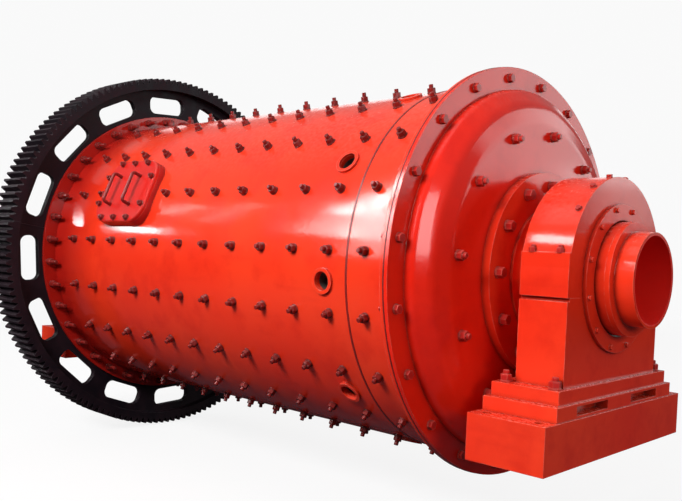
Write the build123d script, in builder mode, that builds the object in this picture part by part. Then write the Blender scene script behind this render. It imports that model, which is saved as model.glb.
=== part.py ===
from build123d import *
import math
import os

# Rod mill: a horizontal grinding drum that turns in two trunnion bearings.
# X runs along the drum from the gear end to the discharge end, and Z is up.
# The origin is the middle of the underside of the sole plate at the discharge end.
# All sizes are millimetres.

# Driving sizes: drum shell
shell_radius = 935
shell_wall = 22
shell_length = 3030
course_length = 285
course_rise = 4
shell_flange_rise = 83
shell_flange_wall = 20

# Driving sizes: discharge ports
port_count = 10
port_radius = 45
port_collar_wall = 17
port_collar_rise = 12
port_offset = 436
port_turn = -4.1

# Driving sizes: shell liner, one lifter bar under each row of liner bolts
liner_bar_count = 20
liner_bar_turn = 4.9
liner_wall = 42
liner_lift = 30
liner_end_gap = 30

# Driving sizes: manhole
manhole_turn = 22.9
manhole_offset = 843
manhole_length = 420
manhole_width = 320
manhole_corner = 70
manhole_rim = 46
manhole_rim_rise = 30
manhole_cover_wall = 24
manhole_grip_radius = 10
manhole_grip_span = 190
manhole_grip_height = 58

# Driving sizes: heads
head_flange_wall = 22
head_spigot_length = 20
head_wall = 56
head_depth = 117
head_shoulder_inset = 110
head_shoulder_rise = 36
head_shoulder_fillet = 42
head_knuckle_rise = 56
head_knuckle_width = 75
head_knuckle_fillet = 120
head_cone_width = 172
head_cone_fillet = 120
head_liner_wall = 40

# Driving sizes: trunnions and spouts
hub_reach = 236
hub_wall = 42
hub_boss_reach = 62
hub_boss_rise = 12
journal_radius = 262
trunnion_wall = 45
trunnion_fillet = 44
journal_reach = 60
spout_wall = 16
spout_reach = 170
spout_lip_wall = 24

# Driving sizes: girth gear
gear_pitch_rise = 262
gear_module = 16
gear_width = 240
gear_rim_reach = 67
gear_rim = 44
gear_web = 46
gear_window_count = 16
gear_window_gap = 24
gear_window_margin = 50
gear_window_angle = 15.6
gear_window_corner = 46
gear_turn = -3.2
gear_joint_wall = 34
gear_joint_depth = 80
gear_joint_gap = 1
pressure_angle = 20

# Driving sizes: main bearings
axis_height = 800
bearing_offset = 298
bearing_width = 232
bush_wall = 38
journal_gap = 0.3
housing_wall = 166
cap_inset = 2
cap_wall = 40
cap_end_wall = 34
cap_lug_height = 192
split_drop = 84
split_groove = 17
seal_ring_wall = 18
seal_ring_reach = 42
seal_gap = 6

# Driving sizes: bearing feet
foot_rise = 64
foot_step = 62
foot_upper_reach = 80
foot_lower_reach = 118
foot_inner_reach = 70
foot_outer_reach = 25
foot_lower_extra = 16
foot_slot_length = 290
foot_slot_height = 38
foot_slot_depth = 60
foot_slot_offset = 266
rib_wall = 26
rib_inset = 118
rib_reach = 56
rib_height = 180

# Driving sizes: sole plates
sole_height = 206
sole_side_reach = 220
sole_inner_reach = 96
sole_outer_reach = 48
sole_wall = 36
sole_top_wall = 44
sole_middle_web = 120
anchor_hole_radius = 21
anchor_boss_wall = 26
anchor_inset = 62

# Places across the drum
shell_bore = shell_radius - shell_wall
shell_flange_radius = shell_radius + shell_flange_rise
head_shoulder_radius = shell_flange_radius - head_shoulder_inset
head_knuckle_radius = head_shoulder_radius - head_knuckle_width
head_cone_radius = head_shoulder_radius - head_cone_width
trunnion_bore = journal_radius - trunnion_wall
hub_radius = journal_radius + hub_reach
boss_radius = journal_radius + hub_boss_reach
bush_bore = journal_radius + journal_gap
bush_radius = bush_bore + bush_wall
cap_radius = bush_radius + housing_wall
housing_half_span = cap_radius - cap_inset
foot_upper_half_span = housing_half_span + foot_upper_reach
foot_lower_half_span = housing_half_span + foot_lower_reach
sole_half_span = housing_half_span + sole_side_reach

# Places along the drum
bearing_inner_x = (sole_inner_reach - bearing_width - sole_outer_reach) / 2
discharge_face_x = bearing_inner_x - bearing_offset
shell_end_x = discharge_face_x - head_flange_wall
shell_start_x = shell_end_x - shell_length
web_far_x = shell_start_x - gear_web
gear_face_x = web_far_x - head_flange_wall
course_start_x = shell_end_x - course_length
manhole_x = shell_start_x + manhole_offset
port_x = shell_end_x - port_offset

# Heights
foot_low_z = sole_height + foot_rise
foot_high_z = foot_low_z + foot_step
split_z = axis_height - split_drop

# Each end: its name, the outer face of its head flange and the way it points
ends = (("discharge_end", discharge_face_x, 1), ("gear_end", gear_face_x, -1))

axis_line = Axis((0, 0, axis_height), (1, 0, 0))
profile_plane = Plane(origin=(0, 0, axis_height), x_dir=(1, 0, 0), z_dir=(0, -1, 0))


def across(x):
    """A plane square to the drum's axis, with its origin on the axis."""
    return Plane(origin=(x, 0, axis_height), x_dir=(0, 1, 0), z_dir=(1, 0, 0))


def outward(x, turn):
    """A plane on the drum's axis that faces out at an angle up from the -Y side."""
    way = (0, -math.cos(math.radians(turn)), math.sin(math.radians(turn)))
    return Plane(origin=(x, 0, axis_height), x_dir=(1, 0, 0), z_dir=way)


def polar(radius, turn):
    """A point on a plane square to the axis, at an angle up from the -Y side."""
    return (-radius * math.cos(math.radians(turn)), radius * math.sin(math.radians(turn)))


def tangent_spot(radius, turn):
    """A place on a plane square to the axis, with its own x direction round the drum."""
    return Location((*polar(radius, turn), 0), (0, 0, 90 - turn))


def save(piece, name):
    """Label a finished piece and write it to its own file."""
    piece.part.label = name
    export_step(piece.part, f"parts/{name}.step")


os.makedirs("parts", exist_ok=True)

# Drum shell: rolled plate with the round discharge ports and the manhole opening
port_turns = [port_turn + port * 360 / port_count for port in range(port_count)]
manhole_plane = outward(manhole_x, manhole_turn)
with BuildPart() as shell:
    with BuildSketch(across(shell_start_x)):
        Circle(shell_radius)
        Circle(shell_bore, mode=Mode.SUBTRACT)
    extrude(amount=course_start_x - shell_start_x)
    for turn in port_turns:
        with BuildSketch(outward(port_x, turn)):
            Circle(port_radius)
        extrude(amount=shell_radius + shell_wall, mode=Mode.SUBTRACT)
    with BuildSketch(manhole_plane):
        RectangleRounded(manhole_length, manhole_width, manhole_corner)
    extrude(amount=shell_radius + shell_wall, mode=Mode.SUBTRACT)
save(shell, "shell")

# Discharge course: the short, slightly thicker ring of plate next to the discharge head
with BuildPart() as discharge_course:
    with BuildSketch(across(course_start_x)):
        Circle(shell_radius + course_rise)
        Circle(shell_bore, mode=Mode.SUBTRACT)
    extrude(amount=course_length)
save(discharge_course, "discharge_course")

# Port collars: a raised ring welded round each discharge port
port_collar_radius = port_radius + port_collar_wall
with BuildPart() as port_collars:
    for turn in port_turns:
        with BuildSketch(outward(port_x, turn).offset(shell_bore)):
            Circle(port_collar_radius)
            Circle(port_radius, mode=Mode.SUBTRACT)
        extrude(amount=shell_wall + port_collar_rise)
    with BuildSketch(across(port_x - 2 * port_collar_radius)):
        Circle(shell_radius)
    extrude(amount=4 * port_collar_radius, mode=Mode.SUBTRACT)
save(port_collars, "port_collars")

# Shell flanges: a machined ring welded round each end of the shell
flange_spots = (("discharge_end", shell_end_x - shell_flange_wall, course_rise),
                ("gear_end", shell_start_x, 0))
for end, flange_x, rise in flange_spots:
    with BuildPart() as shell_flange:
        with BuildSketch(across(flange_x)):
            Circle(shell_flange_radius)
            Circle(shell_radius + rise, mode=Mode.SUBTRACT)
        extrude(amount=shell_flange_wall)
    save(shell_flange, f"shell_flange_{end}")

# Shell liner: a wave-shaped lining with a lifter bar under each row of liner bolts
bar_step = 360 / liner_bar_count
liner_valley = shell_bore - liner_wall
liner_crest = liner_valley - liner_lift
liner_wave = ((-0.2, liner_crest), (0.2, liner_crest), (0.38, liner_valley), (0.62, liner_valley))
liner_points = []
for bar in range(liner_bar_count):
    for share, radius in liner_wave:
        liner_points.append(polar(radius, liner_bar_turn + (bar + share) * bar_step))
with BuildPart() as shell_liner:
    with BuildSketch(across(shell_start_x + liner_end_gap)):
        Circle(shell_bore)
        with BuildLine():
            Polyline(*liner_points, close=True)
        make_face(mode=Mode.SUBTRACT)
    extrude(amount=shell_length - 2 * liner_end_gap)
    for turn in port_turns:
        with BuildSketch(outward(port_x, turn)):
            Circle(port_radius)
        extrude(amount=shell_radius, mode=Mode.SUBTRACT)
    with BuildSketch(manhole_plane):
        RectangleRounded(manhole_length, manhole_width, manhole_corner)
    extrude(amount=shell_radius, mode=Mode.SUBTRACT)
save(shell_liner, "shell_liner")

# Manhole frame: a raised rim that follows the shell and is flat on top
frame_length = manhole_length + 2 * manhole_rim
frame_width = manhole_width + 2 * manhole_rim
frame_corner = manhole_corner + manhole_rim
frame_top = shell_radius + manhole_rim_rise
with BuildPart() as manhole_frame:
    with BuildSketch(manhole_plane):
        RectangleRounded(frame_length, frame_width, frame_corner)
        RectangleRounded(manhole_length, manhole_width, manhole_corner, mode=Mode.SUBTRACT)
    extrude(amount=frame_top)
    with BuildSketch(across(manhole_x - frame_length)):
        Circle(shell_radius)
    extrude(amount=2 * frame_length, mode=Mode.SUBTRACT)
save(manhole_frame, "manhole_frame")

# Manhole cover: a flat plate bolted on the frame
with BuildPart() as manhole_cover:
    with BuildSketch(manhole_plane.offset(frame_top)):
        RectangleRounded(frame_length, frame_width, frame_corner)
    extrude(amount=manhole_cover_wall)
    cover_top = manhole_cover.faces().sort_by(Axis((0, 0, 0), manhole_plane.z_dir))[-1]
    chamfer(cover_top.edges(), length=manhole_cover_wall / 4)
save(manhole_cover, "manhole_cover")

# Manhole grips: two bent rods that stand side by side on the cover, across the drum
grip_base = frame_top + manhole_cover_wall
with BuildPart() as manhole_grips:
    for side in (-1, 1):
        grip_foot = manhole_plane.from_local_coords((side * manhole_length / 4, 0, grip_base))
        grip_plane = Plane(origin=grip_foot, x_dir=manhole_plane.y_dir, z_dir=(1, 0, 0))
        with BuildLine(grip_plane) as grip_path:
            FilletPolyline(
                (-manhole_grip_span / 2, 0),
                (-manhole_grip_span / 2, manhole_grip_height),
                (manhole_grip_span / 2, manhole_grip_height),
                (manhole_grip_span / 2, 0),
                radius=2 * manhole_grip_radius,
            )
        with BuildSketch(Plane(origin=grip_path.line @ 0, z_dir=grip_path.line % 0)):
            Circle(manhole_grip_radius)
        sweep(path=grip_path.line)
save(manhole_grips, "manhole_grips")

# Girth gear: a toothed rim on a web with round-cornered windows. The number of teeth is the
# even one whose pitch circle comes nearest to the wanted rise past the shell flange.
tooth_count = 2 * round((shell_flange_radius + gear_pitch_rise) / gear_module)
pitch_radius = gear_module * tooth_count / 2
tip_radius = pitch_radius + gear_module
root_depth = 1.25 * gear_module
root_radius = pitch_radius - root_depth
rim_inner = root_radius - gear_rim
rim_middle = root_radius - gear_rim / 2
flank_slope = math.tan(math.radians(pressure_angle))
pitch_half = gear_module * math.pi / 4
tip_half = pitch_half - gear_module * flank_slope
root_half = pitch_half + root_depth * flank_slope
window_step = 360 / gear_window_count
window_inner = shell_flange_radius + gear_window_gap
window_outer = rim_inner - gear_window_margin
window_middle = (window_inner + window_outer) / 2
window_length = 2 * window_middle * math.sin(math.radians(gear_window_angle / 2))
split_turn = gear_turn + window_step / 2
tooth_outline = ((root_radius, -root_half), (tip_radius, -tip_half),
                 (tip_radius, tip_half), (root_radius, root_half))
tooth_points = []
for tooth in range(tooth_count):
    tooth_turn = split_turn + (tooth + 0.5) * 360 / tooth_count
    for radius, half_chord in tooth_outline:
        tooth_points.append(polar(radius, tooth_turn + math.degrees(half_chord / radius)))
with BuildPart() as gear_ring:
    with BuildSketch(across(shell_start_x + gear_rim_reach - gear_width)):
        with BuildLine():
            Polyline(*tooth_points, close=True)
        make_face()
        Circle(rim_inner, mode=Mode.SUBTRACT)
    extrude(amount=gear_width)
    with BuildSketch(across(web_far_x)):
        Circle(rim_middle)
        Circle(shell_bore, mode=Mode.SUBTRACT)
        for window in range(gear_window_count):
            with Locations(tangent_spot(window_middle, gear_turn + window * window_step)):
                RectangleRounded(
                    window_length,
                    window_outer - window_inner,
                    gear_window_corner,
                    mode=Mode.SUBTRACT,
                )
    extrude(amount=gear_web)
    with BuildSketch(across(web_far_x)):
        for turn in (split_turn, split_turn + 180):
            with Locations(tangent_spot((window_inner + rim_middle) / 2, turn)):
                Rectangle(2 * gear_joint_wall, rim_middle - window_inner)
    extrude(amount=-gear_joint_depth)
for half, keep, side in (("upper", Keep.TOP, 1), ("lower", Keep.BOTTOM, -1)):
    with BuildPart() as gear_half:
        add(gear_ring.part)
        split_plane = outward(0, split_turn + 90)
        split(bisect_by=split_plane.offset(side * gear_joint_gap / 2), keep=keep)
    save(gear_half, f"girth_gear_{half}_half")

# Heads, trunnions and spouts, the same at both ends
head_bore_wall = shell_bore - head_wall
head_inner_depth = head_depth - head_wall
head_knuckle_depth = head_shoulder_rise + head_knuckle_rise
head_inner_rise = head_shoulder_rise + head_knuckle_rise / 2 - head_wall
spigot_depth = head_flange_wall + head_spigot_length
liner_depth = head_inner_depth - head_liner_wall
hub_face = head_depth + hub_wall
boss_face = hub_face + hub_boss_rise
journal_end = bearing_offset + bearing_width + journal_reach
lip_end = journal_end + spout_lip_wall
spout_end = bearing_offset + bearing_width + spout_reach
for end, face_x, way in ends:

    def out(distance):
        """A place along the axis, counted outward from the head flange's face."""
        return face_x + way * distance

    # Head: a dished casting with a bolting flange and a register inside the shell
    with BuildPart() as head:
        with BuildSketch(profile_plane):
            with BuildLine():
                FilletPolyline(
                    (out(0), head_shoulder_radius),
                    (out(head_shoulder_rise), head_shoulder_radius),
                    (out(head_knuckle_depth), head_knuckle_radius),
                    (out(head_depth), head_cone_radius),
                    (out(head_depth), trunnion_bore),
                    radius=(head_shoulder_fillet, head_knuckle_fillet, head_cone_fillet),
                )
                Polyline(
                    (out(head_depth), trunnion_bore),
                    (out(head_inner_depth), trunnion_bore),
                    (out(head_inner_depth), head_cone_radius),
                    (out(head_inner_rise), head_bore_wall),
                    (out(-spigot_depth), head_bore_wall),
                    (out(-spigot_depth), shell_bore),
                    (out(-head_flange_wall), shell_bore),
                    (out(-head_flange_wall), shell_flange_radius),
                    (out(0), shell_flange_radius),
                    (out(0), head_shoulder_radius),
                )
            make_face()
        revolve(axis=axis_line)
    save(head, f"head_{end}")

    # Head liner: wear plates over the whole inside of the head
    with BuildPart() as head_liner:
        with BuildSketch(profile_plane):
            with BuildLine():
                Polyline(
                    (out(head_inner_depth), trunnion_bore),
                    (out(head_inner_depth), head_cone_radius),
                    (out(head_inner_rise), head_bore_wall),
                    (out(-spigot_depth), head_bore_wall),
                    (out(-spigot_depth), head_bore_wall - head_liner_wall),
                    (out(head_inner_rise - head_liner_wall), head_bore_wall - head_liner_wall),
                    (out(liner_depth), head_cone_radius - head_liner_wall),
                    (out(liner_depth), trunnion_bore),
                    close=True,
                )
            make_face()
        revolve(axis=axis_line)
    save(head_liner, f"head_liner_{end}")

    # Trunnion: the hollow shaft that carries the drum, bolted on the head by its flange
    with BuildPart() as trunnion:
        with BuildSketch(profile_plane):
            with BuildLine():
                FilletPolyline(
                    (out(hub_face), boss_radius),
                    (out(boss_face), boss_radius),
                    (out(boss_face), journal_radius),
                    (out(journal_end), journal_radius),
                    radius=(0, trunnion_fillet),
                )
                Polyline(
                    (out(journal_end), journal_radius),
                    (out(journal_end), trunnion_bore),
                    (out(head_depth), trunnion_bore),
                    (out(head_depth), hub_radius),
                    (out(hub_face), hub_radius),
                    (out(hub_face), boss_radius),
                )
            make_face()
        revolve(axis=axis_line)
    save(trunnion, f"trunnion_{end}")

    # Spout: a liner tube inside the trunnion that ends in a ring past the bearing
    with BuildPart() as spout:
        with BuildSketch(profile_plane):
            with BuildLine():
                Polyline(
                    (out(liner_depth), trunnion_bore - spout_wall),
                    (out(liner_depth), trunnion_bore),
                    (out(journal_end), trunnion_bore),
                    (out(journal_end), journal_radius),
                    (out(lip_end), journal_radius),
                    (out(lip_end), trunnion_bore),
                    (out(spout_end), trunnion_bore),
                    (out(spout_end), trunnion_bore - spout_wall),
                    close=True,
                )
            make_face()
        revolve(axis=axis_line)
    save(spout, f"spout_{end}")

# Main bearings, the same at both ends
for end, face_x, way in ends:
    near_x = face_x + way * bearing_offset
    far_x = near_x + way * bearing_width

    def reach(inner_reach, outer_reach):
        """The middle and the length of a block that reaches past both faces of the bearing."""
        start = near_x - way * inner_reach
        stop = far_x + way * outer_reach
        return (start + stop) / 2, abs(stop - start)

    # Sole plate: a deep cast frame, open below on both sides of a middle web
    sole_x, sole_length = reach(sole_inner_reach, sole_outer_reach)
    pocket_span = sole_half_span - sole_wall - sole_middle_web / 2
    anchor_x_step = sole_length - 2 * anchor_inset
    anchor_y_step = 2 * (sole_half_span - anchor_inset)
    with BuildPart() as sole_plate:
        with BuildSketch():
            with Locations((sole_x, 0)):
                Rectangle(sole_length, 2 * sole_half_span)
        extrude(amount=sole_height)
        with BuildSketch():
            with Locations((sole_x, 0)):
                with GridLocations(0, pocket_span + sole_middle_web, 1, 2):
                    Rectangle(sole_length - 2 * sole_wall, pocket_span)
                with GridLocations(anchor_x_step, anchor_y_step, 2, 2):
                    Circle(anchor_hole_radius + anchor_boss_wall, mode=Mode.SUBTRACT)
        extrude(amount=sole_height - sole_top_wall, mode=Mode.SUBTRACT)
        with Locations((sole_x, 0, sole_height)):
            with GridLocations(anchor_x_step, anchor_y_step, 2, 2):
                Hole(anchor_hole_radius)
    save(sole_plate, f"sole_plate_{end}")

    # Pedestal: the lower half of the bearing housing on its stepped foot, with slots in the
    # foot, gusset ribs on the side of the drum and a groove under the cap's edges
    lower_reaches = (foot_inner_reach + foot_lower_extra, foot_outer_reach + foot_lower_extra)
    upper_reaches = (foot_inner_reach, foot_outer_reach)
    steps = (
        (lower_reaches, foot_lower_half_span, sole_height, foot_low_z),
        (upper_reaches, foot_upper_half_span, foot_low_z, foot_high_z),
        ((0, 0), housing_half_span, foot_high_z, split_z),
    )
    slot_drop = (sole_height + foot_low_z) / 2 - axis_height
    slot_faces = ((near_x - way * lower_reaches[0], way), (far_x + way * lower_reaches[1], -way))
    with BuildPart() as pedestal:
        for reaches, half_span, low_z, high_z in steps:
            middle_x, length = reach(*reaches)
            with BuildSketch(Plane.XY.offset(low_z)):
                with Locations((middle_x, 0)):
                    Rectangle(length, 2 * half_span)
            extrude(amount=high_z - low_z)
        for slot_x, inward in slot_faces:
            with BuildSketch(across(slot_x)):
                with Locations((0, slot_drop)):
                    with GridLocations(2 * foot_slot_offset, 0, 2, 1):
                        Rectangle(foot_slot_length, foot_slot_height)
            extrude(amount=inward * foot_slot_depth, mode=Mode.SUBTRACT)
        for side in (-1, 1):
            rib_foot = (near_x, side * (housing_half_span - rib_inset), foot_high_z)
            with BuildSketch(Plane(origin=rib_foot, x_dir=(-way, 0, 0), z_dir=(0, way, 0))):
                with BuildLine():
                    Polyline((0, 0), (rib_reach, 0), (0, rib_height), close=True)
                make_face()
            extrude(amount=rib_wall / 2, both=True)
        with BuildSketch(across(min(near_x, far_x))):
            Circle(bush_radius)
        extrude(amount=bearing_width, mode=Mode.SUBTRACT)
        with BuildSketch(Plane.XY.offset(split_z)):
            with Locations(((near_x + far_x) / 2, 0)):
                with GridLocations(0, 2 * housing_half_span, 1, 2):
                    Rectangle(bearing_width, 2 * split_groove)
        extrude(amount=-split_groove, mode=Mode.SUBTRACT)
    save(pedestal, f"pedestal_{end}")

    # Bush: the white-metal lined lower half that the journal turns in
    with BuildPart() as bush:
        with BuildSketch(across(min(near_x, far_x))):
            Circle(bush_radius)
            Circle(bush_bore, mode=Mode.SUBTRACT)
        extrude(amount=bearing_width)
        split(bisect_by=Plane.XY.offset(split_z), keep=Keep.BOTTOM)
    save(bush, f"bearing_bush_{end}")

    # Cap: the arched upper half of the housing, hollow over the journal, with bolting lugs
    lug_top = cap_lug_height - split_drop
    with BuildPart() as cap:
        with BuildSketch(across(min(near_x, far_x))):
            Circle(cap_radius)
            with Locations((0, lug_top - cap_lug_height / 2)):
                Rectangle(2 * housing_half_span, cap_lug_height)
            Circle(bush_radius, mode=Mode.SUBTRACT)
        extrude(amount=bearing_width)
        with BuildSketch(across(min(near_x, far_x) + cap_end_wall)):
            Circle(cap_radius - cap_wall)
            with Locations((0, lug_top - cap_radius)):
                Rectangle(2 * cap_radius, 2 * cap_radius, mode=Mode.SUBTRACT)
        extrude(amount=bearing_width - 2 * cap_end_wall, mode=Mode.SUBTRACT)
        split(bisect_by=Plane.XY.offset(split_z), keep=Keep.TOP)
    save(cap, f"bearing_cap_{end}")

    # Seal rings: a plain ring on each face of the housing, clear of the journal
    for side, start_x, toward in (("outer", far_x, way), ("inner", near_x, -way)):
        with BuildPart() as seal_ring:
            with BuildSketch(across(start_x)):
                Circle(bush_radius + seal_ring_reach)
                Circle(journal_radius + seal_gap, mode=Mode.SUBTRACT)
            extrude(amount=toward * seal_ring_wall)
        save(seal_ring, f"seal_ring_{side}_{end}")
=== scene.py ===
import math
import random
from typing import NamedTuple

import bmesh
import bpy
from mathutils import Matrix, Vector


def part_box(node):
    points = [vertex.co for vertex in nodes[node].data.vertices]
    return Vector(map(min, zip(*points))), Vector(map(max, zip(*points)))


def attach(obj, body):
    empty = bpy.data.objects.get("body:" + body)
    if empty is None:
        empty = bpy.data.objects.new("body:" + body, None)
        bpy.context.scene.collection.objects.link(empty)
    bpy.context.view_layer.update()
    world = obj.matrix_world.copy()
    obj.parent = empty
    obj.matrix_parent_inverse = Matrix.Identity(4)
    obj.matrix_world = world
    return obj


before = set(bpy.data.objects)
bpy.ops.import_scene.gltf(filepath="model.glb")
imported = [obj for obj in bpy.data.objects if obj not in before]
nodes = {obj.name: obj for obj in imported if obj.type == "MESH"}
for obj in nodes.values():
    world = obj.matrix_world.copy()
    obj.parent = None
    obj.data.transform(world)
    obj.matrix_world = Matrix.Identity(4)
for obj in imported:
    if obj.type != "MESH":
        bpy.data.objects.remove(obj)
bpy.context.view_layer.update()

# Sizes of the solids in metres, with radii from the drum's axis
AXIS_Z = 0.8
SHELL_RADIUS = 0.935
FLANGE_RADIUS = 1.018
HEAD_DEPTH = 0.117
HEAD_FLANGE_WALL = 0.022
SHELL_FLANGE_WALL = 0.020
HUB_WALL = 0.042
CAP_RADIUS = 0.4663
LUG_TOP = 0.108
FOOT_TOP = 0.332
discharge_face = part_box("head_discharge_end")[1].x - HEAD_DEPTH
gear_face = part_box("head_gear_end")[0].x + HEAD_DEPTH
shell_end = discharge_face - HEAD_FLANGE_WALL
shell_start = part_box("shell")[0].x

# Each end with the way along X that it faces, and the outer face of its head's flange
ENDS = (("discharge_end", 1), ("gear_end", -1))
HEAD_FACES = {"discharge_end": discharge_face, "gear_end": gear_face}


def local_frame(axis_x, axis_y, axis_z, place):
    """A matrix from its three axes and its origin."""
    return Matrix((
        (axis_x.x, axis_y.x, axis_z.x, place.x),
        (axis_x.y, axis_y.y, axis_z.y, place.y),
        (axis_x.z, axis_y.z, axis_z.z, place.z),
        (0, 0, 0, 1),
    ))


# Camera: its place, direction and lens fit the photograph
CAMERA_PLACE = (1.7824, -3.5842, 0.8893)
CAMERA_AZIMUTH = 2.3303
CAMERA_ELEVATION = -0.0338
CAMERA_ROLL = 0.0413
CAMERA_LENS = 42.67
CAMERA_SHIFT_X = 0.0003
CAMERA_SHIFT_Y = 0.0362


def make_camera():
    forward = Vector((
        math.cos(CAMERA_ELEVATION) * math.cos(CAMERA_AZIMUTH),
        math.cos(CAMERA_ELEVATION) * math.sin(CAMERA_AZIMUTH),
        math.sin(CAMERA_ELEVATION),
    ))
    right = forward.cross(Vector((0, 0, 1))).normalized()
    up = right.cross(forward)
    side = right * math.cos(CAMERA_ROLL) + up * math.sin(CAMERA_ROLL)
    top = up * math.cos(CAMERA_ROLL) - right * math.sin(CAMERA_ROLL)
    data = bpy.data.cameras.new("camera")
    data.sensor_fit = "HORIZONTAL"
    data.sensor_width = 36
    data.lens = CAMERA_LENS
    data.shift_x = CAMERA_SHIFT_X
    data.shift_y = CAMERA_SHIFT_Y
    data.clip_start = 0.05
    data.clip_end = 200
    camera = bpy.data.objects.new("camera", data)
    camera.matrix_world = local_frame(side, top, -forward, Vector(CAMERA_PLACE))
    bpy.context.scene.collection.objects.link(camera)
    bpy.context.scene.camera = camera


make_camera()


# Materials
class Tree:
    """A material's node tree with short calls to add and join nodes."""

    def __init__(self, name):
        self.material = bpy.data.materials.new(name)
        self.material.use_nodes = True
        self.tree = self.material.node_tree
        self.tree.nodes.clear()
        output = self.add("ShaderNodeOutputMaterial")
        self.shader = self.add("ShaderNodeBsdfPrincipled")
        self.join(self.shader.outputs[0], output.inputs["Surface"])

    def add(self, kind, **values):
        node = self.tree.nodes.new(kind)
        for key, value in values.items():
            setattr(node, key, value)
        return node

    def join(self, start, end):
        self.tree.links.new(start, end)

    def put(self, value, socket):
        """Write a number or a colour into a socket, or join an output to it."""
        if isinstance(value, tuple):
            socket.default_value = (*value, 1)
        elif isinstance(value, (int, float)):
            socket.default_value = value
        else:
            self.join(value, socket)

    def coordinates(self):
        return self.add("ShaderNodeTexCoord").outputs["Object"]

    def noise(self, scale, detail=4, rough=0.55, stretch=None):
        node = self.add("ShaderNodeTexNoise")
        node.inputs["Scale"].default_value = scale
        node.inputs["Detail"].default_value = detail
        node.inputs["Roughness"].default_value = rough
        source = self.coordinates()
        if stretch:
            mapping = self.add("ShaderNodeMapping")
            mapping.inputs["Scale"].default_value = stretch
            self.join(source, mapping.inputs["Vector"])
            source = mapping.outputs[0]
        self.join(source, node.inputs["Vector"])
        return node.outputs["Fac"]

    def ramp(self, value, low, high, start=0.0, end=1.0):
        """Spread the values from low to high over start to end."""
        node = self.add("ShaderNodeMapRange", clamp=True)
        node.inputs["From Min"].default_value = low
        node.inputs["From Max"].default_value = high
        node.inputs["To Min"].default_value = start
        node.inputs["To Max"].default_value = end
        self.join(value, node.inputs["Value"])
        return node.outputs[0]

    def calculate(self, operation, first, second):
        node = self.add("ShaderNodeMath", operation=operation)
        self.put(first, node.inputs[0])
        self.put(second, node.inputs[1])
        return node.outputs[0]

    def plus(self, first, second):
        return self.calculate("ADD", first, second)

    def minus(self, first, second):
        return self.calculate("SUBTRACT", first, second)

    def times(self, first, second):
        return self.calculate("MULTIPLY", first, second)

    def blend(self, share, first, second):
        """The first colour, with a share of the second over it."""
        node = self.add("ShaderNodeMix", data_type="RGBA")
        self.join(share, node.inputs["Factor"])
        self.put(first, node.inputs[6])
        self.put(second, node.inputs[7])
        return node.outputs[2]

    def axes(self, vector):
        """The X, Y and Z of a vector."""
        split = self.add("ShaderNodeSeparateXYZ")
        self.join(vector, split.inputs[0])
        return split.outputs

    def edges(self, radius):
        """Over 0 on the sharp edges and 0 on the faces."""
        bevel = self.add("ShaderNodeBevel", samples=6)
        bevel.inputs["Radius"].default_value = radius
        geometry = self.add("ShaderNodeNewGeometry")
        dot = self.add("ShaderNodeVectorMath", operation="DOT_PRODUCT")
        self.join(bevel.outputs[0], dot.inputs[0])
        self.join(geometry.outputs["Normal"], dot.inputs[1])
        return self.minus(1.0, dot.outputs["Value"])

    def corners(self, reach):
        """Near 1 in crevices and 0 in the open: the mask for painted shade."""
        shelter = self.add("ShaderNodeAmbientOcclusion", samples=4)
        shelter.inputs["Distance"].default_value = reach
        return self.ramp(shelter.outputs["AO"], 0.25, 0.8, 1.0, 0.0)

    def facing_up(self):
        """1 on faces that look up, 0 on upright ones and below 0 on the rest."""
        geometry = self.add("ShaderNodeNewGeometry")
        return self.axes(geometry.outputs["Normal"])["Z"]

    def within(self, radius):
        """1 nearer to the drum's axis than a radius and 0 farther out."""
        place = self.axes(self.coordinates())
        rise = self.minus(place["Z"], AXIS_Z)
        squares = self.plus(
            self.calculate("POWER", place["Y"], 2.0),
            self.calculate("POWER", rise, 2.0),
        )
        distance = self.calculate("SQRT", squares, 0.0)
        return self.ramp(distance, radius, radius + 0.004, 1.0, 0.0)

    def finish_with(self, colour, rough, bump, strength, distance, soften=0.0):
        """Set the colour, the roughness and a relief, with edges rounded by soften."""
        self.join(colour, self.shader.inputs["Base Color"])
        self.join(rough, self.shader.inputs["Roughness"])
        relief = self.add("ShaderNodeBump")
        relief.inputs["Strength"].default_value = strength
        relief.inputs["Distance"].default_value = distance
        self.join(bump, relief.inputs["Height"])
        if soften:
            bevel = self.add("ShaderNodeBevel", samples=4)
            bevel.inputs["Radius"].default_value = soften
            self.join(bevel.outputs[0], relief.inputs["Normal"])
        self.join(relief.outputs[0], self.shader.inputs["Normal"])
        return self.material


DUST = (0.42, 0.27, 0.22)
# Near-black red for the painted shade in crevices
PAINTED_CORNER_SHADE = (0.07, 0.006, 0.005)
# Dark red for the gear end: grease, and painted shade
GREASE_AND_PAINTED_SHADE = (0.33, 0.007, 0.005)
# Brighter red inside the bore: painted light
BORE_PAINTED_LIGHT = (0.95, 0.014, 0.006)
# Pale red for worn edges, which also paints the highlight that edges catch
RUBBED_RED_AND_EDGE_HIGHLIGHT = (0.84, 0.19, 0.13)
RUBBED_DARK = (0.05, 0.018, 0.014)


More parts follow.
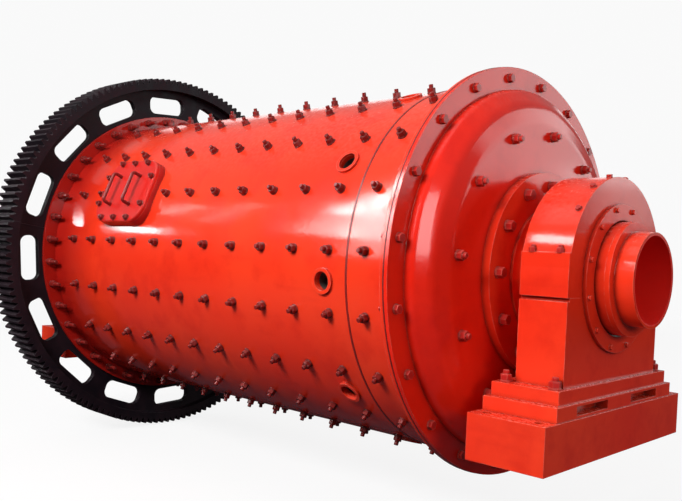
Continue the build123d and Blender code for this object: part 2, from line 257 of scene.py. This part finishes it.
def paint(name, reds, edge_wear_and_highlight=RUBBED_RED_AND_EDGE_HIGHLIGHT, gloss=0.11, dust=0.25, bore=None, shade_and_grease_x=None):
    """Uneven enamel, dusty on top, rubbed paler on the edges, which also paints their highlight,
    and with painted shade in the corners.

    reds are the base, shaded and faded colours, and gloss is the least roughness. bore is the
    radius within which the paint is brighter, a painted light. Below the X given for the gear
    end, painted shade and grease darken the paint.
    """
    base, shade, fade = reds
    tree = Tree(name)
    broad = tree.noise(1.1, 3)
    cloud = tree.noise(5.5, 5)
    fine = tree.noise(48, 3)
    colour = tree.blend(tree.ramp(broad, 0.35, 0.68), base, fade)
    colour = tree.blend(tree.ramp(cloud, 0.5, 0.78, 0, 0.55), colour, shade)
    runs = tree.noise(3.2, 6, 0.62, stretch=(0.5, 3.0, 3.0))
    colour = tree.blend(tree.ramp(runs, 0.58, 0.8, 0, 0.35), colour, shade)
    settled = tree.times(tree.ramp(tree.facing_up(), 0.45, 1.0), tree.ramp(fine, 0.35, 0.75))
    colour = tree.blend(tree.times(settled, dust), colour, DUST)
    # Paler edges: real rubbed wear, and also a painted highlight where edges catch the light
    edge_mask = tree.ramp(tree.edges(0.006), 0.02, 0.16)
    patchy = tree.ramp(tree.noise(17, 5, 0.7), 0.36, 0.6)
    colour = tree.blend(tree.times(tree.times(edge_mask, patchy), 0.8), colour, edge_wear_and_highlight)
    rough = tree.plus(tree.ramp(cloud, 0.3, 0.8, gloss, gloss + 0.09), tree.times(settled, 0.25))
    # Painted shade: crevices are darkened through the ambient occlusion mask
    colour = tree.blend(tree.times(tree.corners(0.045), 0.8), colour, PAINTED_CORNER_SHADE)
    # Towards the gear end the paint darkens: grease, and painted shade
    if shade_and_grease_x:
        place = tree.axes(tree.coordinates())
        ragged = tree.plus(place["X"], tree.ramp(cloud, 0.3, 0.7, -0.05, 0.05))
        greasy_shade = tree.ramp(ragged, shade_and_grease_x - 0.2, shade_and_grease_x + 0.2, 0.9, 0.0)
        colour = tree.blend(greasy_shade, colour, GREASE_AND_PAINTED_SHADE)
    # Painted light: the paint within the bore is brighter, standing in for light that reaches
    # inside
    if bore:
        inside = tree.within(bore)
        colour = tree.blend(inside, colour, BORE_PAINTED_LIGHT)
        rough = tree.plus(rough, tree.times(inside, 0.35))
    peel = tree.plus(tree.times(fine, 0.4), cloud)
    return tree.finish_with(colour, rough, peel, 0.16, 0.004, 0.004)


def machined(name, base, dark):
    """Turned bare metal with a little grime."""
    tree = Tree(name)
    cloud = tree.noise(7, 5)
    fine = tree.noise(60, 4)
    colour = tree.blend(tree.ramp(cloud, 0.4, 0.7), base, dark)
    rough = tree.ramp(fine, 0.3, 0.7, 0.38, 0.58)
    tree.shader.inputs["Metallic"].default_value = 1.0
    return tree.finish_with(colour, rough, fine, 0.12, 0.001)


def greased(name):
    """Black grease over cast iron, rubbed paler on the edges of the teeth."""
    tree = Tree(name)
    cloud = tree.noise(9, 5, 0.6)
    fine = tree.noise(70, 4)
    thickness = tree.ramp(cloud, 0.4, 0.66)
    colour = tree.blend(thickness, (0.008, 0.005, 0.008), (0.017, 0.007, 0.011))
    edge_mask = tree.ramp(tree.edges(0.004), 0.03, 0.2)
    colour = tree.blend(tree.times(edge_mask, 0.45), colour, (0.07, 0.062, 0.066))
    rough = tree.ramp(cloud, 0.35, 0.7, 0.42, 0.65)
    tree.shader.inputs["Specular IOR Level"].default_value = 0.2
    bump = tree.plus(cloud, tree.times(fine, 0.4))
    return tree.finish_with(colour, rough, bump, 0.3, 0.003)


def cast_liner(name):
    """Worn manganese steel."""
    tree = Tree(name)
    cloud = tree.noise(6, 6, 0.65)
    scratch = tree.noise(14, 5, 0.6, stretch=(6, 1, 1))
    colour = tree.blend(tree.ramp(cloud, 0.4, 0.7), (0.10, 0.075, 0.06), (0.24, 0.2, 0.18))
    tree.shader.inputs["Metallic"].default_value = 0.6
    rough = tree.ramp(scratch, 0.3, 0.75, 0.4, 0.75)
    return tree.finish_with(colour, rough, tree.plus(cloud, scratch), 0.35, 0.004)


# Each set of reds: the base, its shaded patches and its faded patches
ENAMEL = ((0.80, 0.029, 0.009), (0.60, 0.011, 0.005), (0.86, 0.048, 0.014))
# The head's copy of the enamel is deeper and redder, as the same red looks in the head's shade:
# painted shade
HEAD_SHADE_TONED_ENAMEL = ((0.80, 0.015, 0.005), (0.60, 0.008, 0.004), (0.86, 0.024, 0.008))
COVER_ENAMEL = ((0.56, 0.012, 0.009), (0.36, 0.008, 0.007), (0.64, 0.018, 0.012))
DEEP_ENAMEL = ((0.42, 0.010, 0.008), (0.22, 0.006, 0.006), (0.5, 0.016, 0.012))
BOLT_ENAMEL = ((0.17, 0.008, 0.007), (0.07, 0.006, 0.006), (0.25, 0.012, 0.009))

red = paint("red_paint", ENAMEL)
head_shade_toned_red = paint("head_shade_toned_paint", HEAD_SHADE_TONED_ENAMEL, gloss=0.12)
cover_red = paint("cover_red_paint", COVER_ENAMEL, gloss=0.14)
deep_red = paint("deep_red_paint", DEEP_ENAMEL, gloss=0.3)
spout_red = paint("spout_red_paint", ENAMEL, bore=0.203)
trunnion_red = paint("trunnion_red_paint", ENAMEL, bore=0.219)
gear_end_red = paint("gear_end_red_paint", ENAMEL, gloss=0.08, shade_and_grease_x=-3.12)
gear_black = greased("gear_grease")
liner_steel = cast_liner("liner_steel")
white_metal = machined("white_metal", (0.55, 0.54, 0.5), (0.34, 0.32, 0.3))
bolt_paint = paint("bolt_paint", BOLT_ENAMEL, edge_wear_and_highlight=RUBBED_DARK, gloss=0.3, dust=0.2)


def dress_nodes():
    """Give each node its material. Those that aren't named here are plain red."""
    chosen = {
        "shell": gear_end_red,
        "shell_flange_gear_end": gear_end_red,
        "shell_liner": liner_steel,
        "manhole_frame": deep_red,
        "manhole_cover": cover_red,
        "manhole_grips": bolt_paint,
        "girth_gear_upper_half": gear_black,
        "girth_gear_lower_half": gear_black,
    }
    for end in HEAD_FACES:
        chosen[f"head_{end}"] = head_shade_toned_red
        chosen[f"head_liner_{end}"] = liner_steel
        chosen[f"trunnion_{end}"] = trunnion_red
        chosen[f"spout_{end}"] = spout_red
        chosen[f"bearing_bush_{end}"] = white_metal
    for name, node in nodes.items():
        node.data.materials.clear()
        node.data.materials.append(chosen.get(name, red))


dress_nodes()


# Fasteners
class Fastener(NamedTuple):
    """A hexagon's width and height, its washer's height, and the stud's end beyond it."""

    flats: float
    washer: float
    head: float
    stud: float = 0.0
    stud_radius: float = 0.0


LINER_NUT = Fastener(0.038, 0.005, 0.024, 0.020, 0.0115)
FLANGE_HEAD = Fastener(0.038, 0.004, 0.018)
FLANGE_NUT = Fastener(0.038, 0.004, 0.020, 0.012, 0.011)
GEAR_HEAD = Fastener(0.040, 0.005, 0.024)
GEAR_NUT = Fastener(0.040, 0.005, 0.030, 0.062, 0.013)
HEAD_NUT = Fastener(0.042, 0.006, 0.026, 0.016, 0.014)
HUB_HEAD = Fastener(0.046, 0.006, 0.030)
MANHOLE_NUT = Fastener(0.030, 0.004, 0.016, 0.010, 0.009)
LUG_NUT = Fastener(0.030, 0, 0.022, 0.012, 0.010)
RIM_SCREW = Fastener(0.024, 0.002, 0.012)
FOOT_NUT = Fastener(0.046, 0.006, 0.028, 0.018, 0.014)
SEAL_SCREW = Fastener(0.022, 0.002, 0.011)

# How deep fasteners and weld beads sink into the solids
SUNK = 0.001
WASHER_SHARE = 0.62
WASHER_SIDES = 18
STUD_SIDES = 12

# Radii of the circles that the bolts stand on
HEAD_FLANGE_CIRCLE = 0.963
DISCHARGE_NUT_CIRCLE = 0.978
GEAR_NUT_CIRCLE = 0.977
HEAD_CIRCLE = 0.690
HUB_CIRCLE = 0.430
SEAL_CIRCLE = 0.321

# Liner bolts: rows around the drum, and columns back from the discharge end's head
ROW_COUNT = 20
ROW_TURN = 4.8
COURSE_COLUMN = 0.2016
COURSE_RISE = 0.004
FIRST_COLUMN = 0.4298
COLUMN_STEP = 0.2336
COLUMN_COUNT = 11
STUD_SPREAD = 0.003

# Manhole: its turn in degrees, the room without liner bolts, and the bolts on its cover
MANHOLE_TURN = 22.9
MANHOLE_ROOM_TURN = 14
MANHOLE_ROOM_X = 0.02
COVER_RISE = 0.030 + 0.024
COVER_BOLT_X = 0.210 + 0.023
COVER_BOLT_Y = 0.160 + 0.023
COVER_STEP_X = 0.14
COVER_HALF_STEP_Y = 0.09

# Bearing bolts: their distance in from the edges of the cap and of the foot
LUG_INSET_X = 0.05
LUG_INSET_Y = 0.010
RIM_INSET = 0.026
FOOT_INSET = 0.060
FOOT_BOLT_Y = 0.500

chance = random.Random(7)


def prism(mesh, spot, radius, height, sides, start, taper, turn=0.0):
    """An upright prism on a local frame, with its top edge cut back by taper."""
    rings = []
    for level, size in ((0.0, radius), (height - taper, radius), (height, radius - taper)):
        ring = []
        for step in range(sides):
            angle = turn + 2 * math.pi * step / sides
            point = Vector((size * math.cos(angle), size * math.sin(angle), start + level))
            ring.append(mesh.verts.new(spot @ point))
        rings.append(ring)
    for low, high in zip(rings, rings[1:]):
        for step in range(sides):
            after = (step + 1) % sides
            mesh.faces.new((low[step], low[after], high[after], high[step]))
    mesh.faces.new(rings[-1])
    mesh.faces.new(tuple(reversed(rings[0])))


def bolt(mesh, spot, sizes, longer=0.0):
    """A washer, a hexagon turned by chance, and the end of a stud."""
    turn = chance.uniform(0, math.pi / 3)
    corner = sizes.flats / 2 / math.cos(math.pi / 6)
    level = -SUNK
    if sizes.washer:
        radius = sizes.flats * WASHER_SHARE
        height = sizes.washer + SUNK
        prism(mesh, spot, radius, height, WASHER_SIDES, level, sizes.washer * 0.25)
        level += height
    prism(mesh, spot, corner, sizes.head, 6, level, sizes.head * 0.10, turn)
    level += sizes.head
    if sizes.stud:
        radius = sizes.stud_radius
        height = sizes.stud + longer
        prism(mesh, spot, radius, height, STUD_SIDES, level, radius * 0.18)


def piece(name, mesh, body, material):
    data = bpy.data.meshes.new(name)
    bmesh.ops.recalc_face_normals(mesh, faces=mesh.faces)
    mesh.to_mesh(data)
    mesh.free()
    data.materials.append(material)
    made = bpy.data.objects.new(name, data)
    bpy.context.scene.collection.objects.link(made)
    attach(made, body)


def turns(count, first):
    """The turns in degrees of a full circle of bolts."""
    return [first + step * 360 / count for step in range(count)]


def outward(turn):
    """The direction out from the drum's axis, at a turn up from the -Y side."""
    angle = math.radians(turn)
    return Vector((0, -math.cos(angle), math.sin(angle)))


def radial_spot(x, radius, turn):
    """A frame on the drum that stands out from it."""
    out = outward(turn)
    along = Vector((1, 0, 0))
    return local_frame(along, out.cross(along), out, Vector((x, 0, AXIS_Z)) + out * radius)


def face_spot(x, radius, turn, way):
    """A frame on a face square to the axis, that points along way * X."""
    out = outward(turn)
    forward = Vector((way, 0, 0))
    return local_frame(out, forward.cross(out), forward, Vector((x, 0, AXIS_Z)) + out * radius)


def up_spot(x, y, z):
    return Matrix.Translation((x, y, z))


def make_liner_bolts():
    """A row over each lifter bar, left out around the manhole."""
    manhole_low, manhole_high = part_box("manhole_frame")
    manhole_x = (manhole_low.x + manhole_high.x) / 2
    manhole_half = (manhole_high.x - manhole_low.x) / 2 + MANHOLE_ROOM_X
    columns = [discharge_face - COURSE_COLUMN]
    for step in range(COLUMN_COUNT):
        columns.append(discharge_face - FIRST_COLUMN - COLUMN_STEP * step)
    mesh = bmesh.new()
    for turn in turns(ROW_COUNT, first=ROW_TURN):
        away = (turn - MANHOLE_TURN + 180) % 360 - 180
        for number, x in enumerate(columns):
            if abs(x - manhole_x) < manhole_half and abs(away) < MANHOLE_ROOM_TURN:
                continue
            rise = COURSE_RISE if number == 0 else 0.0
            spot = radial_spot(x, SHELL_RADIUS + rise, turn)
            bolt(mesh, spot, LINER_NUT, longer=chance.uniform(-STUD_SPREAD, STUD_SPREAD))
    piece("liner_bolts", mesh, "drum", bolt_paint)


def make_flange_bolts_discharge_end():
    """Heads on the head's flange, and nuts behind the shell's flange."""
    nut_face = shell_end - SHELL_FLANGE_WALL
    mesh = bmesh.new()
    for turn in turns(20, first=8.5):
        bolt(mesh, face_spot(discharge_face, HEAD_FLANGE_CIRCLE, turn, 1), FLANGE_HEAD)
        bolt(mesh, face_spot(nut_face, DISCHARGE_NUT_CIRCLE, turn, -1), FLANGE_NUT)
    piece("flange_bolts_discharge_end", mesh, "drum", deep_red)


def make_flange_bolts_gear_end():
    """Heads on the head's flange, and nuts on long studs that hold the gear too."""
    nut_face = shell_start + SHELL_FLANGE_WALL
    mesh = bmesh.new()
    for turn in turns(40, first=4.0):
        bolt(mesh, face_spot(nut_face, GEAR_NUT_CIRCLE, turn, 1), GEAR_NUT)
        bolt(mesh, face_spot(gear_face, HEAD_FLANGE_CIRCLE, turn, -1), GEAR_HEAD)
    piece("flange_bolts_gear_end", mesh, "drum", bolt_paint)


def make_head_bolts(end, way):
    """Nuts on the head, and screws that hold the trunnion on its hub."""
    face = HEAD_FACES[end]
    mesh = bmesh.new()
    for turn in turns(12, first=6.5):
        bolt(mesh, face_spot(face + way * HEAD_DEPTH, HEAD_CIRCLE, turn, way), HEAD_NUT)
    piece(f"head_bolts_{end}", mesh, "drum", deep_red)
    hub_face = face + way * (HEAD_DEPTH + HUB_WALL)
    mesh = bmesh.new()
    for turn in turns(12, first=1):
        bolt(mesh, face_spot(hub_face, HUB_CIRCLE, turn, way), HUB_HEAD)
    piece(f"hub_bolts_{end}", mesh, "drum", deep_red)


def make_manhole_bolts():
    """Three nuts on each long side of the cover, and two on each short side."""
    manhole_low, manhole_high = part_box("manhole_frame")
    manhole_x = (manhole_low.x + manhole_high.x) / 2
    middle = radial_spot(manhole_x, SHELL_RADIUS + COVER_RISE, MANHOLE_TURN)
    places = []
    for side in (-1, 1):
        for step in (-1, 0, 1):
            places.append((step * COVER_STEP_X, side * COVER_BOLT_Y))
    for side in (-1, 1):
        for step in (-1, 1):
            places.append((side * COVER_BOLT_X, step * COVER_HALF_STEP_Y))
    mesh = bmesh.new()
    for x, y in places:
        bolt(mesh, middle @ up_spot(x, y, 0), MANHOLE_NUT)
    piece("manhole_bolts", mesh, "drum", bolt_paint)


def ring_bead(mesh, x, radius, half_width, rise):
    """A low bead around the drum with a flat crown."""
    steps = 144
    section = ((-1, -SUNK), (-0.5, rise), (0.5, rise), (1, -SUNK))
    rings = []
    for turn in turns(steps, first=0):
        ring = []
        for share, level in section:
            middle = Vector((x + share * half_width, 0, AXIS_Z))
            ring.append(mesh.verts.new(middle + outward(turn) * (radius + level)))
        rings.append(ring)
    for step, ring in enumerate(rings):
        after = rings[(step + 1) % steps]
        for corner in range(len(section)):
            following = (corner + 1) % len(section)
            mesh.faces.new((ring[corner], ring[following], after[following], after[corner]))


def make_welds_and_shade_lines():
    """A dark bead beside the thicker course, and a dark seam in the flange pair, whose dark
    colour also paints the shade line along both.
    """
    course_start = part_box("discharge_course")[0].x
    mesh = bmesh.new()
    ring_bead(mesh, course_start - 0.002, SHELL_RADIUS, half_width=0.010, rise=0.006)
    ring_bead(mesh, shell_end, FLANGE_RADIUS, half_width=0.005, rise=0.0015)
    # The dark paint on both rings is partly painted shade along the course edge and the flange
    # joint
    piece("weld_and_shade_lines", mesh, "drum", bolt_paint)


def make_bearing_bolts(end, way):
    """Nuts on the cap's lugs, screws around its rim and nuts on the foot."""
    cap_low, cap_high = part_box(f"bearing_cap_{end}")
    foot_low, foot_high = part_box(f"pedestal_{end}")
    mesh = bmesh.new()
    for x in (cap_low.x + LUG_INSET_X, cap_high.x - LUG_INSET_X):
        for side in (-1, 1):
            spot = up_spot(x, side * (cap_high.y - LUG_INSET_Y), AXIS_Z + LUG_TOP)
            bolt(mesh, spot, LUG_NUT)
    rim_x = cap_high.x - RIM_INSET if way > 0 else cap_low.x + RIM_INSET
    for turn in range(40, 141, 20):
        bolt(mesh, radial_spot(rim_x, CAP_RADIUS, turn), RIM_SCREW)
    for x in (foot_low.x + FOOT_INSET, foot_high.x - FOOT_INSET):
        for side in (-1, 1):
            bolt(mesh, up_spot(x, side * FOOT_BOLT_Y, FOOT_TOP), FOOT_NUT)
    piece(f"bearing_bolts_{end}", mesh, "stand", deep_red)


def make_seal_ring_bolts(end, way):
    ring_low, ring_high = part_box(f"seal_ring_outer_{end}")
    face = ring_high.x if way > 0 else ring_low.x
    mesh = bmesh.new()
    for turn in turns(12, first=15):
        bolt(mesh, face_spot(face, SEAL_CIRCLE, turn, way), SEAL_SCREW)
    piece(f"seal_ring_bolts_{end}", mesh, "stand", red)


# The order of these calls is the order of the random draws
make_liner_bolts()
make_flange_bolts_discharge_end()
make_flange_bolts_gear_end()
for end, way in ENDS:
    make_head_bolts(end, way)
make_manhole_bolts()
make_welds_and_shade_lines()
for end, way in ENDS:
    make_bearing_bolts(end, way)
    make_seal_ring_bolts(end, way)

# Floor and surroundings
FLOOR_DEPTH = 1.305
FLOOR_HALF = 60
FADE_START = 5.0
FADE_END = 18.0


def camera_mix(tree, for_camera, for_light):
    """Join two shaders, one that the camera sees and one that lights the mill."""
    path = tree.nodes.new("ShaderNodeLightPath")
    mix = tree.nodes.new("ShaderNodeMixShader")
    tree.links.new(path.outputs["Is Camera Ray"], mix.inputs[0])
    tree.links.new(for_light, mix.inputs[1])
    tree.links.new(for_camera, mix.inputs[2])
    return mix.outputs[0]


def fade(tree, value, target, low, high, start, end):
    """Drive a socket from start to end while a value goes from low to high."""
    node = tree.nodes.new("ShaderNodeMapRange")
    node.inputs["From Min"].default_value = low
    node.inputs["From Max"].default_value = high
    node.inputs["To Min"].default_value = start
    node.inputs["To Max"].default_value = end
    tree.links.new(value, node.inputs["Value"])
    tree.links.new(node.outputs[0], target)


def floor_material():
    """Pale to the camera and fading into the backdrop, and dark to the light."""
    material = bpy.data.materials.new("floor")
    material.use_nodes = True
    tree = material.node_tree
    tree.nodes.clear()
    output = tree.nodes.new("ShaderNodeOutputMaterial")
    pale = tree.nodes.new("ShaderNodeBsdfDiffuse")
    pale.inputs["Color"].default_value = (0.9, 0.9, 0.9, 1)
    glow = tree.nodes.new("ShaderNodeEmission")
    glow.inputs["Color"].default_value = (1, 1, 1, 1)
    seen = tree.nodes.new("ShaderNodeMixShader")
    tree.links.new(pale.outputs[0], seen.inputs[1])
    tree.links.new(glow.outputs[0], seen.inputs[2])
    coordinates = tree.nodes.new("ShaderNodeTexCoord")
    length = tree.nodes.new("ShaderNodeVectorMath")
    length.operation = "LENGTH"
    tree.links.new(coordinates.outputs["Object"], length.inputs[0])
    distance = length.outputs["Value"]
    fade(tree, distance, seen.inputs[0], FADE_START, FADE_END, 0.86, 1.0)
    fade(tree, distance, glow.inputs["Strength"], FADE_START, FADE_END, 1.0, 0.95)
    grey = tree.nodes.new("ShaderNodeBsdfDiffuse")
    grey.inputs["Color"].default_value = (0.09, 0.06, 0.075, 1)
    tree.links.new(camera_mix(tree, seen.outputs[0], grey.outputs[0]), output.inputs["Surface"])
    return material


def make_floor():
    mesh = bmesh.new()
    level = AXIS_Z - FLOOR_DEPTH
    corners = []
    for x, y in ((-1, -1), (1, -1), (1, 1), (-1, 1)):
        corners.append(mesh.verts.new((x * FLOOR_HALF, y * FLOOR_HALF, level)))
    mesh.faces.new(corners)
    data = bpy.data.meshes.new("floor")
    mesh.to_mesh(data)
    mesh.free()
    data.materials.append(floor_material())
    floor = bpy.data.objects.new("floor", data)
    bpy.context.scene.collection.objects.link(floor)


def area_light(name, place, target, width, height, power):
    """A soft lamp that faces its target."""
    data = bpy.data.lights.new(name, "AREA")
    data.shape = "RECTANGLE"
    data.size = width
    data.size_y = height
    data.energy = power
    lamp = bpy.data.objects.new(name, data)
    lamp.location = place
    lamp.rotation_mode = "QUATERNION"
    lamp.rotation_quaternion = (Vector(target) - Vector(place)).to_track_quat("-Z", "Y")
    bpy.context.scene.collection.objects.link(lamp)
    return lamp


def matt_light(name, place, target, width, height, power):
    """A soft lamp that the gloss doesn't show."""
    lamp = area_light(name, place, target, width, height, power)
    lamp.visible_glossy = False


def reflected_light(name, place, target, width, height, radiance):
    """A lamp of a set brightness that is seen in the gloss alone."""
    lamp = area_light(name, place, target, width, height, radiance * math.pi * width * height)
    lamp.visible_diffuse = False


def make_lamps():
    matt_light("key", (-1.2, -6.2, 4.2), (-1.4, 0, 0.8), 3.0, 1.8, 550)
    area_light("top", (-1.2, -1.6, 6.0), (-1.4, 0, 0.8), 5.0, 2.4, 28)
    matt_light("side", (5.6, -1.8, 2.4), (0.0, 0, 0.8), 2.6, 2.2, 100)
    matt_light("far", (-8.0, 4.5, 3.4), (-2.6, 0, 0.8), 4.0, 2.5, 200)
    area_light("back", (4.6, 8.0, 4.0), (0.0, 0, 1.2), 7.0, 4.0, 190)
    reflected_light("key_gloss", (-1.2, -6.2, 4.2), (-1.4, 0, 0.8), 3.0, 1.8, 9)
    reflected_light("strip_near", (-5.0, -4.8, 3.9), (-0.68, -0.9, 1.06), 0.6, 3.2, 7)
    reflected_light("strip_core", (-4.75, -4.5, 4.8), (-0.55, -0.9, 1.06), 0.4, 2.6, 27)
    reflected_light("strip_low", (-4.40, -4.97, 2.95), (-0.5, -0.91, 0.99), 0.7, 1.5, 16)
    reflected_light("strip_tail", (-4.41, -5.36, 1.90), (-0.5, -0.93, 0.90), 0.7, 1.1, 6)
    reflected_light("strip_streak", (-6.69, -4.24, 3.32), (-1.6, -0.9, 1.05), 0.12, 1.4, 5)
    reflected_light("strip_blotch", (-7.38, -3.86, 3.34), (-2.06, -0.9, 1.07), 0.3, 0.7, 4)
    reflected_light("strip_middle", (-7.92, -4.19, 2.10), (-2.43, -0.92, 0.95), 0.42, 0.28, 34)
    reflected_light("strip_far", (-8.63, -3.68, 2.60), (-2.97, -0.91, 1.02), 0.18, 1.6, 26)
    reflected_light("strip_cap", (-2.9, -4.3, 4.5), (0.02, -0.44, 0.96), 1.2, 0.8, 18)
    reflected_light("cap_face", (3.25, 7.5, 1.75), (0.14, 0.2, 1.1), 1.4, 0.9, 1.3)
    reflected_light("head_streak", (5.11, -3.1, 2.85), (-0.33, -0.8, 1.0), 2.3, 3.0, 6.2)
    reflected_light("skyline", (-6.5, 6.6, 4.2), (-1.5, 0, 1.7), 10.0, 2.2, 1.4)


def make_world():
    """A plain backdrop for the camera, and a soft light that is weaker from below."""
    world = bpy.data.worlds.new("studio")
    bpy.context.scene.world = world
    world.use_nodes = True
    tree = world.node_tree
    tree.nodes.clear()
    output = tree.nodes.new("ShaderNodeOutputWorld")
    around = tree.nodes.new("ShaderNodeBackground")
    around.inputs["Color"].default_value = (1, 0.98, 0.98, 1)
    seen = tree.nodes.new("ShaderNodeBackground")
    seen.inputs["Color"].default_value = (0.95, 0.95, 0.95, 1)
    seen.inputs["Strength"].default_value = 1.0
    coordinates = tree.nodes.new("ShaderNodeTexCoord")
    split = tree.nodes.new("ShaderNodeSeparateXYZ")
    tree.links.new(coordinates.outputs["Generated"], split.inputs[0])
    fade(tree, split.outputs["Z"], around.inputs["Strength"], 0.0, 0.5, 0.05, 0.3)
    tree.links.new(camera_mix(tree, seen.outputs[0], around.outputs[0]), output.inputs["Surface"])


make_floor()
make_lamps()
make_world()
bpy.context.scene.view_settings.view_transform = "Standard"
